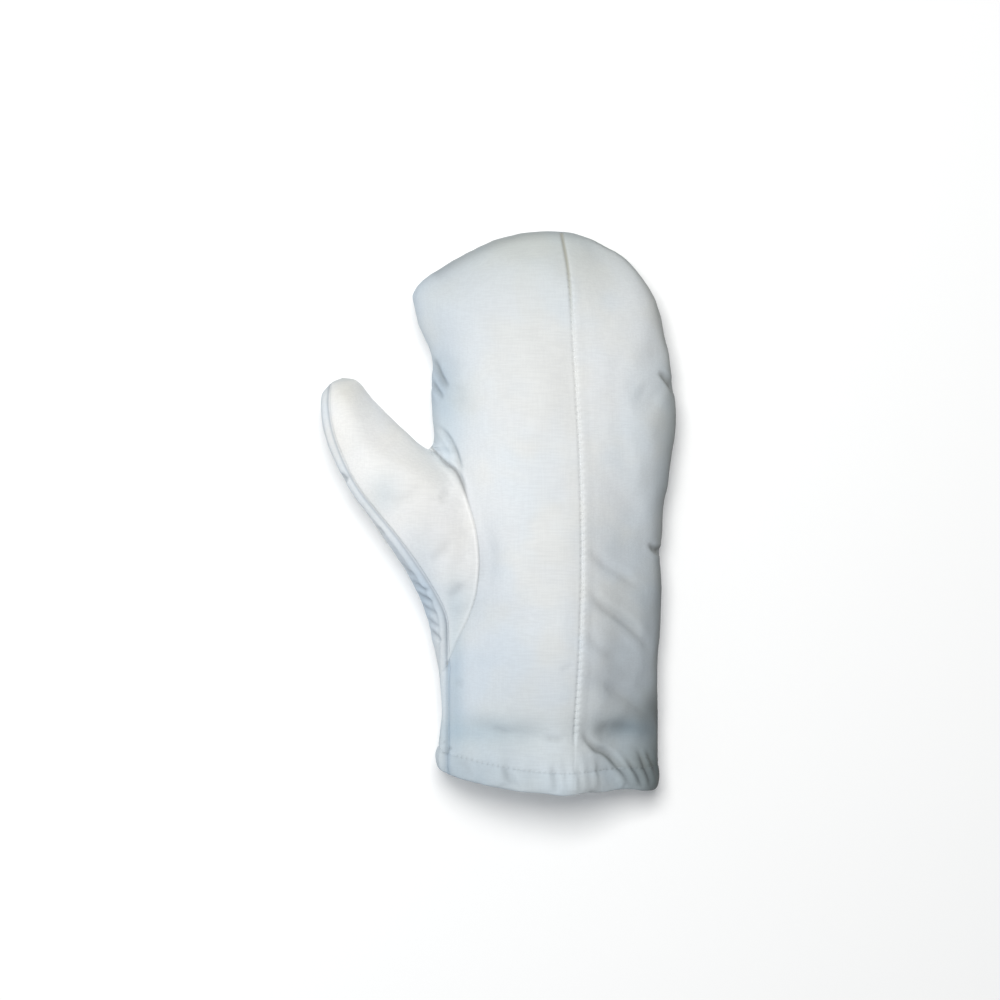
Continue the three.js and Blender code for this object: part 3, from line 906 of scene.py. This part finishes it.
def centre_seam_spots(tree):
    shifted = centre_seam + (SEAM_STITCH_INSET, 0)
    stops = evenly_along(shifted, STITCH_PITCH, start=0.5 * STITCH_PITCH)
    stops = stops[(stops[:, 1] < STITCHED_TOP) & (stops[:, 1] > STITCHED_END)]
    spots = []
    for here, there in zip(stops, stops[1:]):
        place, outwards, _, _ = tree.ray_cast(Vector((here[0], here[1], TALL)) * MM, Vector((0, 0, -1)))
        heading = Vector((there[0] - here[0], there[1] - here[1], 0)).normalized()
        heading.rotate(Quaternion((0, 0, 1), STITCH_TURN))
        spots.append((place - outwards * STITCH_SINK * MM, outwards, heading))
    return spots


cloth_surface = cloth_tree(PANELS)
seam_stitches = lay_stitches("centre_seam_stitches", STITCH_LENGTH, centre_seam_spots(cloth_surface))

# %% Topstitching round the hem
HEM_STITCH_PITCH = 3.2
HEM_STITCH_LENGTH = 2.2
CUFF_MIDDLE = (27.0, 20.0)
HEM_RAYS = 720
RAY_TRIES = 3


def hem_line_on_cloth(tree):
    """Points of the topstitching line, found by rays that come in from all round the cuff. How high
    the line runs depends on where its ray strikes, so each ray is sent a few times."""
    ring = []
    for turn in np.linspace(0, 2 * math.pi, HEM_RAYS + 1):
        away = Vector((math.cos(turn), 0, math.sin(turn)))
        x = CUFF_MIDDLE[0]
        for _ in range(RAY_TRIES):
            y = np.interp(x, cuff_edge[:, 0], cuff_edge[:, 1]) + HEM_HEIGHT
            middle = Vector((CUFF_MIDDLE[0], y, CUFF_MIDDLE[1]))
            place, _, _, _ = tree.ray_cast((middle + away * FAR) * MM, -away)
            x = place.x / MM
        ring.append(place / MM)
    return np.array(ring)


def hem_spots(tree):
    stops = evenly_along(hem_line_on_cloth(tree), HEM_STITCH_PITCH)
    spots = []
    for here, there in zip(stops, stops[1:]):
        place, outwards, _, _ = tree.find_nearest(Vector(here) * MM)
        spots.append((place - outwards * STITCH_SINK * MM, outwards, Vector(there - here).normalized()))
    return spots


hem_stitches = lay_stitches("hem_stitches", HEM_STITCH_LENGTH, hem_spots(cloth_surface))

# %% [markdown]
# ## Cotton
# The mitt is bleached cotton. Close up it is a plain weave of fine yarns, some thicker than others,
# which show as short streaks, more across the mitt than along it. From further off it has a soft
# unevenness of colour: cool where it is thin, warm where it was handled. Dust gathers in the seams.
# Weave and streaks are built once as node groups, with the yarn's size as their inputs, and every
# cotton material uses them. They read the place on the object, so that they lie still on the cloth.


# %% Helpers for node groups
def new_group(name, inputs, outputs):
    group = bpy.data.node_groups.new(name, "ShaderNodeTree")
    for label, kind, value in inputs:
        group.interface.new_socket(name=label, in_out="INPUT", socket_type=kind).default_value = value
    for label, kind in outputs:
        group.interface.new_socket(name=label, in_out="OUTPUT", socket_type=kind)
    return group, group.nodes.new("NodeGroupInput"), group.nodes.new("NodeGroupOutput")


def feed(tree, node, inputs):
    """Gives each input of a node its value, or links it to another node's output."""
    for label, value in inputs.items():
        if isinstance(value, (int, float, tuple)):
            node.inputs[label].default_value = value
        else:
            tree.links.new(value, node.inputs[label])


def add_node(tree, kind, inputs=None, **settings):
    node = tree.nodes.new(kind)
    for name, value in settings.items():
        setattr(node, name, value)
    feed(tree, node, inputs or {})
    return node


def vector_math(tree, operation, first, second=None):
    inputs = {0: first}
    if second is not None:
        inputs["Scale" if operation == "SCALE" else 1] = second
    node = add_node(tree, "ShaderNodeVectorMath", inputs, operation=operation)
    return node.outputs["Value" if operation == "DOT_PRODUCT" else "Vector"]


def math_node(tree, operation, first, second):
    return add_node(tree, "ShaderNodeMath", {0: first, 1: second}, operation=operation).outputs[0]


# %% Node group for the weave
def weave_group():
    """Yarns that go over and under each other, seen along whichever axis the cloth faces."""
    group, given, result = new_group(
        "Plain weave", [("Yarn pitch", "NodeSocketFloat", 0.001)], [("Height", "NodeSocketFloat")]
    )
    place = add_node(group, "ShaderNodeTexCoord").outputs["Object"]
    facing = add_node(group, "ShaderNodeNewGeometry").outputs["Normal"]
    pace = math_node(group, "DIVIDE", 2 * math.pi, given.outputs["Yarn pitch"])
    waves = vector_math(group, "SINE", vector_math(group, "SCALE", place, pace))
    wave = add_node(group, "ShaderNodeSeparateXYZ", {0: waves}).outputs
    crossings = [
        math_node(group, "MULTIPLY", wave[one], wave[other]) for one, other in ("YZ", "XZ", "XY")
    ]
    crossed = add_node(group, "ShaderNodeCombineXYZ", dict(enumerate(crossings)))
    facing = vector_math(group, "ABSOLUTE", facing)
    height = vector_math(group, "DOT_PRODUCT", crossed.outputs[0], facing)
    feed(group, result, {"Height": height})
    return group


# %% Node group for the streaks of thicker yarns
STREAK_SHARES = (0.62, 0.38)


def streak_group():
    group, given, result = new_group(
        "Yarn streaks",
        [("Yarn width", "NodeSocketFloat", 0.001), ("Streak length", "NodeSocketFloat", 0.02)],
        [("Streaks", "NodeSocketFloat")],
    )
    place = add_node(group, "ShaderNodeTexCoord").outputs["Object"]
    fine = math_node(group, "DIVIDE", 1.0, given.outputs["Yarn width"])
    long = math_node(group, "DIVIDE", 1.0, given.outputs["Streak length"])
    found = []
    for along, share in enumerate(STREAK_SHARES):
        paces = {axis: long if axis == along else fine for axis in range(3)}
        scale = add_node(group, "ShaderNodeCombineXYZ", paces)
        stretched = vector_math(group, "MULTIPLY", place, scale.outputs[0])
        noise = add_node(group, "ShaderNodeTexNoise", {"Scale": 1.0, "Detail": 1.0, "Vector": stretched})
        found.append(math_node(group, "MULTIPLY", noise.outputs["Fac"], share))
    feed(group, result, {"Streaks": math_node(group, "ADD", *found)})
    return group


# %% Node group for the colour of used bleached cotton and its painted shade
PATCH_EDGES = (0.4, 0.65)
STREAK_EDGES = (0.35, 0.65)
STREAK_SHADE = 0.07
DARK_YARN = (0.2, 0.2, 0.22, 1)
COOL_PATCHES = {"size": 0.05, "seed": 1.0}
WARM_PATCHES = {"size": 0.034, "seed": 5.0}
PLAIN_COLOURS = {"Cloth": (0.8, 0.8, 0.8, 1), "Cool": (0.75, 0.8, 0.85, 1), "Warm": (0.8, 0.78, 0.72, 1),
                 "Painted shade": (1, 1, 1, 1), "Dust": (0.5, 0.46, 0.38, 1)}


def mix_colour(tree, share, first, second, blend="MIX"):
    node = add_node(tree, "ShaderNodeMix", data_type="RGBA", blend_type=blend)
    number = {socket.identifier: index for index, socket in enumerate(node.inputs)}
    inputs = {"Factor_Float": share, "A_Color": first, "B_Color": second}
    feed(tree, node, {number[label]: value for label, value in inputs.items()})
    return next(socket for socket in node.outputs if socket.identifier == "Result_Color")


def map_range(tree, value, low, high, to_low=0.0, to_high=1.0):
    inputs = {"Value": value, "From Min": low, "From Max": high, "To Min": to_low, "To Max": to_high}
    node = add_node(tree, "ShaderNodeMapRange", inputs, interpolation_type="SMOOTHSTEP")
    return node.outputs["Result"]


def patches(tree, place, size, seed):
    inputs = {"W": seed, "Scale": 1 / size, "Detail": 2.0, "Vector": place}
    noise = add_node(tree, "ShaderNodeTexNoise", inputs, noise_dimensions="4D")
    return map_range(tree, noise.outputs["Fac"], *PATCH_EDGES)


def colour_group():
    group, given, result = new_group(
        "Cotton colour with painted shade",
        [(label, "NodeSocketColor", value) for label, value in PLAIN_COLOURS.items()]
        + [("Dusty", "NodeSocketFloat", 0.0), ("Streaks", "NodeSocketFloat", 0.5)],
        [("Colour", "NodeSocketColor")],
    )
    place = add_node(group, "ShaderNodeTexCoord").outputs["Object"]
    cool = patches(group, place, **COOL_PATCHES)
    colour = mix_colour(group, cool, given.outputs["Cloth"], given.outputs["Cool"])
    warm = patches(group, place, **WARM_PATCHES)
    colour = mix_colour(group, warm, colour, given.outputs["Warm"])
    darker = mix_colour(group, STREAK_SHADE, colour, DARK_YARN)
    shade = map_range(group, given.outputs["Streaks"], *STREAK_EDGES)
    colour = mix_colour(group, shade, darker, colour)
    # the painted shade multiplies the cotton's colour
    colour = mix_colour(group, 1.0, colour, given.outputs["Painted shade"], "MULTIPLY")
    colour = mix_colour(group, given.outputs["Dusty"], colour, given.outputs["Dust"])
    feed(group, result, {"Colour": colour})
    return group


weave = weave_group()
streaks = streak_group()
cotton_colour_and_shade = colour_group()
print("node groups:", [group.name for group in bpy.data.node_groups])


# %% Cotton materials
YARN_PITCH = 0.0008
YARN_WIDTH = 0.0009
STREAK_LENGTH = 0.014
SLUB_BUMP = {"Strength": 0.4, "Distance": 0.0002}
YARN_BUMP = {"Strength": 0.3, "Distance": 0.0001}
SOFT_SHINE = {"Specular IOR Level": 0.25, "Sheen Weight": 0.2, "Sheen Roughness": 0.5}
ROUGH_STREAKS = {"from_streaks": (0.3, 0.7), "roughness": (0.8, 0.95)}
BEIGE_DUST = (0.40, 0.40, 0.34)
GREY_DUST = (0.36, 0.40, 0.44)
# All panels are the same bleached cotton: the lighter, warmer thumb cotton is partly painted light, and
# the darker, cooler back cotton partly painted shade.
COTTONS = {
    # the cloth, its cool and its warm patches, and the dust in its seams
    "palm cotton": [(0.748, 0.767, 0.782), (0.72, 0.758, 0.787), (0.752, 0.761, 0.753), BEIGE_DUST],
    "back cotton": [(0.72, 0.75, 0.77), (0.69, 0.737, 0.775), (0.728, 0.74, 0.738), GREY_DUST],
    "thumb cotton": [(0.87, 0.868, 0.852), (0.86, 0.865, 0.865), (0.86, 0.85, 0.82), GREY_DUST],
    "sewing thread": [(0.80, 0.81, 0.82), (0.78, 0.80, 0.82), (0.79, 0.79, 0.77), BEIGE_DUST],
}


def cotton(name, colours):
    material = bpy.data.materials.new(name)
    material.use_nodes = True
    tree = material.node_tree
    woven = add_node(tree, "ShaderNodeGroup", node_tree=weave)
    feed(tree, woven, {"Yarn pitch": YARN_PITCH})
    streaked = add_node(tree, "ShaderNodeGroup", node_tree=streaks)
    feed(tree, streaked, {"Yarn width": YARN_WIDTH, "Streak length": STREAK_LENGTH})
    seen = streaked.outputs["Streaks"]
    dusty = add_node(tree, "ShaderNodeAttribute", attribute_name="dust").outputs["Fac"]
    # painted shade, kept as an attribute of the cloth
    toned = add_node(tree, "ShaderNodeAttribute", attribute_name="painted_shade").outputs["Color"]
    coloured = add_node(tree, "ShaderNodeGroup", node_tree=cotton_colour_and_shade)
    for label, colour in zip(("Cloth", "Cool", "Warm", "Dust"), colours):
        feed(tree, coloured, {label: (*colour, 1)})
    feed(tree, coloured, {"Dusty": dusty, "Painted shade": toned, "Streaks": seen})
    rough = map_range(tree, seen, *ROUGH_STREAKS["from_streaks"], *ROUGH_STREAKS["roughness"])
    slub = add_node(tree, "ShaderNodeBump", {**SLUB_BUMP, "Height": seen})
    yarn_bump = {**YARN_BUMP, "Height": woven.outputs["Height"], "Normal": slub.outputs["Normal"]}
    yarn = add_node(tree, "ShaderNodeBump", yarn_bump)
    surface = tree.nodes["Principled BSDF"]
    feed(tree, surface, {"Base Color": coloured.outputs["Colour"], "Roughness": rough})
    feed(tree, surface, {"Normal": yarn.outputs["Normal"], **SOFT_SHINE})
    return material


cottons = {name: cotton(name, colours) for name, colours in COTTONS.items()}
print("materials:", ", ".join(cottons))


# %% Dust in the seams, kept as an attribute of the cloth
VALLEY_DUST = 0.05
CENTRE_DUST = {"least": 0.04, "more": 0.76, "width": 0.9}
FINGERS = (95, 150)
SEAM_DUST = [(thumb_set_seam, 0.04), (thumb_welt_seam, 0.7), (side_seam, 0.2)]
SEAM_DUST_WIDTH = 0.8


def dust_of(points):
    across, _ = measure_from(centre_seam, points)
    handled = CENTRE_DUST["least"] + CENTRE_DUST["more"] * soft_step(points[:, 1], *FINGERS)
    handled[points[:, 1] < STITCHED_END] = 0
    dust = handled * hump(across, CENTRE_DUST["width"])
    for line, dirt in SEAM_DUST:
        across, _ = measure_from(line, points)
        dust = np.maximum(dust, dirt * hump(across, SEAM_DUST_WIDTH))
    return dust


# %% [markdown]
# Soft differences of light and shade on the palm side, which no small noise could give, are painted into
# the cotton's colour: the fingertips, the outer side and the cuff carry painted shade, the cuff a cooler
# one, the hollows, folds and parts of the thumb carry painted shade too, and one strip beside the side
# seam carries painted light. Each is a soft oval spot that multiplies the cotton's colour. The steep
# sides carry painted shade all round. The crease between the thumb and the hand is painted darker, and so
# are the centre seam at the fingertips, the rim round them and the holes that the needle left in the hem.

# %% Painted shade on the cotton
# Painted shade: each spot darkens the cotton where the mitt lies in shade; the strip under the side seam
# is painted lighter.
PAINTED_SHADE_SPOTS = {
    # middle of the spot, its half widths across and along the mitt, the painted shade it multiplies by
    "fingertips": ((26, 172), (95, 42), (0.76, 0.80, 0.785)),
    "forefinger corner": ((-50, 122), (42, 50), (0.80, 0.85, 0.90)),
    "hollow above the thumb": ((-31, 62), (16, 34), (0.76, 0.83, 0.88)),
    "bent edge above the thumb": ((-34, 76), (7, 18), (0.82, 0.86, 0.90)),
    "heel of the hand": ((-10, -88), (36, 42), (0.84, 0.875, 0.915)),
    "edge of the heel": ((-25.5, -97), (5.5, 46), (0.76, 0.83, 0.88)),
    "strip under the side seam": ((-34, -95), (4, 48), (1.06, 1.05, 1.04)),
    "fold above the hem": ((-16, -128), (37, 9), (0.78, 0.845, 0.89)),
    "cuff": ((0, -168), (150, 62), (0.76, 0.82, 0.86)),
    "cuff by the thumb": ((-22, -153), (30, 14), (0.80, 0.84, 0.88)),
    "hollow by the cuff corner": ((76, -126), (22, 8), (0.58, 0.63, 0.66)),
    "hollow by the outer edge": ((96, -114), (16, 9), (0.52, 0.52, 0.49)),
    "cuff corner": ((97, -152), (20, 34), (0.22, 0.25, 0.24)),
    "outer side": ((92, -70), (36, 80), (0.63, 0.67, 0.70)),
    "lower outer side": ((72, -99), (20, 20), (0.83, 0.84, 0.85)),
    "pleats by the cuff corner": ((77, -149), (13, 16), (0.72, 0.735, 0.725)),
    "outer edge": ((101, -80), (9, 100), (0.42, 0.44, 0.44)),
    "little finger": ((96, 66), (26, 70), (0.92, 0.94, 0.95)),
    "edge of the little finger": ((103, 50), (9, 60), (0.72, 0.75, 0.76)),
    "wrinkled piping": ((-45, -50), (13, 22), (0.78, 0.85, 0.91)),
    "crotch": ((-29, 36), (8, 13), (0.95, 0.98, 1.0)),
    "ball of the thumb": ((-40, -16), (24, 32), (0.86, 0.87, 0.90)),
    "shaded side of the thumb": ((-82, 40), (10, 16), (0.93, 0.935, 0.94)),
    "hollow by the welt": ((-67, 10), (10, 13), (0.80, 0.84, 0.865)),
    "thumb below the hollow": ((-47, -23), (12, 16), (0.91, 0.94, 0.965)),
    "heel of the thumb": ((-22, -53), (16, 14), (0.82, 0.86, 0.89)),
    "palm beside the thumb": ((-3, -29), (9, 24), (0.88, 0.90, 0.92)),
    "tip of the thumb": ((-90, 72), (12, 12), (0.90, 0.90, 0.88)),
}
# Painted shade on the steep sides, darkest on the outer side that faces away from the lamps.
SIDE_SHADE = (0.76, 0.80, 0.83)
OUTER_SIDE_SHADE = (0.40, 0.41, 0.39)
VALLEY_SHADE = 0.14
FINGER_RIM = [(-36, 141), (-18, 151), (3, 160), (29, 165), (49, 163), (61, 158), (73, 151), (86, 140),
              (94, 125), (96, 116), (100, 101)]
LINE_SHADES = [
    # line, how dark it is, where along the mitt this sets in, width
    (thumb_set_seam, 0.42, (-4.0, 18.0), 0.8),
    (centre_seam, 0.36, (124.0, 156.0), 1.0),
    (smooth_line(FINGER_RIM, steps=3), 0.25, (0.0, 50.0), 4.5),
]
SIDE_SEAM_SHADE = {"depths": (0.22, 0.17, 0.12), "middle": 0.9, "width": 1.3}
NEEDLE_HOLE_SHADE = {"depth": 0.17, "width": 0.8}
FACING_OUT = (0.0, 0.5)
OUTER_HALF = (20.0, 60.0)
TURNED_AWAY = (0.1, 0.8)


def painted_shade_of(points, normals):
    painted_shade = np.ones((len(points), 3))
    for middle, half_widths, colour in PAINTED_SHADE_SPOTS.values():
        apart = (points[:, :2] - middle) / half_widths
        spot = np.exp(-(apart**2).sum(axis=1))
        painted_shade *= 1 - spot[:, None] * (1 - np.array(colour))
    # painted shade on steep surfaces, by which way they face
    faces_out = soft_step(normals[:, 0], *FACING_OUT)
    outer = faces_out * soft_step(points[:, 0], *OUTER_HALF)
    steep = (1 - soft_step(normals[:, 2], *TURNED_AWAY)) * (1 - faces_out + outer)
    side_shade = outer[:, None] * OUTER_SIDE_SHADE + (1 - outer[:, None]) * SIDE_SHADE
    painted_shade *= 1 - steep[:, None] * (1 - side_shade)
    for line, dark, sets_in, width in LINE_SHADES:
        across, _ = measure_from(line, points)
        shade = dark * soft_step(points[:, 1], *sets_in) * hump(across, width)
        painted_shade *= (1 - shade)[:, None]
    across, _ = measure_from(side_seam, points)
    beside = hump(across, SIDE_SEAM_SHADE["width"], SIDE_SEAM_SHADE["middle"])
    painted_shade *= 1 - beside[:, None] * SIDE_SEAM_SHADE["depths"]
    # painted shade in the needle holes along the hem's row of stitches
    across, along = measure_from(cuff_edge, points)
    hole_shade = hump(np.abs(across) - HEM_HEIGHT, NEEDLE_HOLE_SHADE["width"])
    hole_shade *= np.clip(np.cos(2 * math.pi * along / HEM_STITCH_PITCH), 0, 1)
    return painted_shade * (1 - NEEDLE_HOLE_SHADE["depth"] * hole_shade)[:, None]


DUSTY_SIDE = (-0.1, 0.4)
DUSTY_LEVEL = (SEAM_LEVEL - 6, SEAM_LEVEL - 2)
PAINTED_SHADE_LEVEL = (2, 10)


def keep_dust_and_painted_shade(piece):
    points = read_points(piece.data)
    normals = read_normals(piece.data)
    top = soft_step(normals[:, 2], *DUSTY_SIDE) * soft_step(points[:, 2], *DUSTY_LEVEL)
    dust = dust_of(points)
    shade = painted_shade_of(points, normals)
    if "valley" in piece.data.attributes:
        valley = read_attribute(piece.data, "valley")
        dust = np.maximum(dust, VALLEY_DUST * valley)
        shade *= 1 - VALLEY_SHADE * valley[:, None]
    keep_attribute(piece.data, "dust", top * dust)
    # painted shade only on the upper cloth, faded out towards the table
    palm_side = soft_step(points[:, 2], *PAINTED_SHADE_LEVEL)[:, None]
    painted_shade = np.ones((len(points), 4))
    painted_shade[:, :3] = 1 - palm_side * (1 - shade)
    layer = piece.data.attributes.new("painted_shade", "FLOAT_COLOR", "POINT")
    layer.data.foreach_set("color", painted_shade.astype(np.float32).ravel())


FINISH = {
    "palm_cotton": (cottons["palm cotton"], [palm_thumb_half, palm_outer_half]),
    "thumb_cotton": (cottons["thumb cotton"], [thumb_front]),
    "back_cotton": (cottons["back cotton"], [back_panel, thumb_back, hem_band]),
}


def dress(piece, material):
    piece.data.materials.clear()
    piece.data.materials.append(material)
    keep_dust_and_painted_shade(piece)


for slot, (material, panels) in FINISH.items():
    for panel in panels:
        dress(panel, material)
for row in (seam_stitches, hem_stitches):
    dress(row, cottons["sewing thread"])
print("painted shade spots:", ", ".join(PAINTED_SHADE_SPOTS))

# %% [markdown]
# ## Standing in for the CAD nodes
# Every soft CAD node is replaced by its panel. All panels are padded and ride on the mitt's one body.

# %% Hide the CAD nodes and attach every piece to the mitt's body
STANDS_FOR = {
    "hem_band": hem_band,
    "thumb_front": thumb_front,
    "thumb_back": thumb_back,
    "palm_thumb_half": palm_thumb_half,
    "palm_outer_half": palm_outer_half,
    "back_panel": back_panel,
}

for node, panel in STANDS_FOR.items():
    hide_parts(node)
for piece in (*PANELS, seam_stitches, hem_stitches):
    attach(piece, "root")

# %% [markdown]
# ## Studio
# The mitt lies on a plain white table. A large soft lamp above the fingers lights it and casts the
# shadow. A second lamp, low on the thumb's side, brings out the folds and casts none. A little light
# comes from all round. The mitt is seen from straight above.

# %% Table
TABLE_SIZE = 8.0
TABLE_WHITES = ((0.96, 0.96, 0.96, 1), (0.97, 0.97, 0.97, 1))
TABLE_PATCHES = {"size": 0.4, "seed": 2.0}
TABLE_ROUGHNESS = 0.8

bpy.ops.object.select_all(action="DESELECT")
bpy.ops.mesh.primitive_plane_add(size=TABLE_SIZE)
table = bpy.context.object
table.name = "table"
white = bpy.data.materials.new("white table")
white.use_nodes = True
tree = white.node_tree
table_place = add_node(tree, "ShaderNodeTexCoord").outputs["Object"]
table_colour = mix_colour(tree, patches(tree, table_place, **TABLE_PATCHES), *TABLE_WHITES)
feed(tree, tree.nodes["Principled BSDF"], {"Base Color": table_colour, "Roughness": TABLE_ROUGHNESS})
table.data.materials.append(white)

# %% Lights
KEY = {"place": (-0.166, 0.621, 2.104), "size": 1.2, "power": 43.0, "colour": (1.0, 0.995, 0.98)}
FILL = {"place": (-1.528, -1.07, 1.166), "size": 0.8, "power": 16.0, "colour": (0.96, 0.98, 1.0)}
SKY = {"Color": (0.9, 0.95, 1.0, 1), "Strength": 0.14}


def soft_lamp(name, place, size, power, colour, shadow=True):
    lamp = bpy.data.lights.new(name, "AREA")
    lamp.use_shadow = shadow
    lamp.energy = power
    lamp.size = size
    lamp.color = colour
    stand = into_scene(bpy.data.objects.new(name, lamp))
    stand.location = place
    stand.rotation_euler = (-Vector(place)).to_track_quat("-Z", "Y").to_euler()
    return stand


soft_lamp("key lamp", **KEY)
soft_lamp("fill lamp", **FILL, shadow=False)
world = bpy.data.worlds.new("studio")
world.use_nodes = True
feed(world.node_tree, world.node_tree.nodes["Background"], SKY)
bpy.context.scene.world = world
bpy.context.scene.view_settings.view_transform = "Standard"

# %% Camera
PICTURE_WIDTH = 0.586
PICTURE_CENTRE = (0.00064, 0.00674)
FOCUS_LEVEL = 0.02
LENS = 180.0
SENSOR = 36.0

bpy.ops.object.camera_add(location=(*PICTURE_CENTRE, FOCUS_LEVEL + PICTURE_WIDTH * LENS / SENSOR))
camera = bpy.context.object
camera.rotation_euler = (0, 0, 0)
camera.data.lens = LENS
camera.data.sensor_width = SENSOR
bpy.context.scene.camera = camera
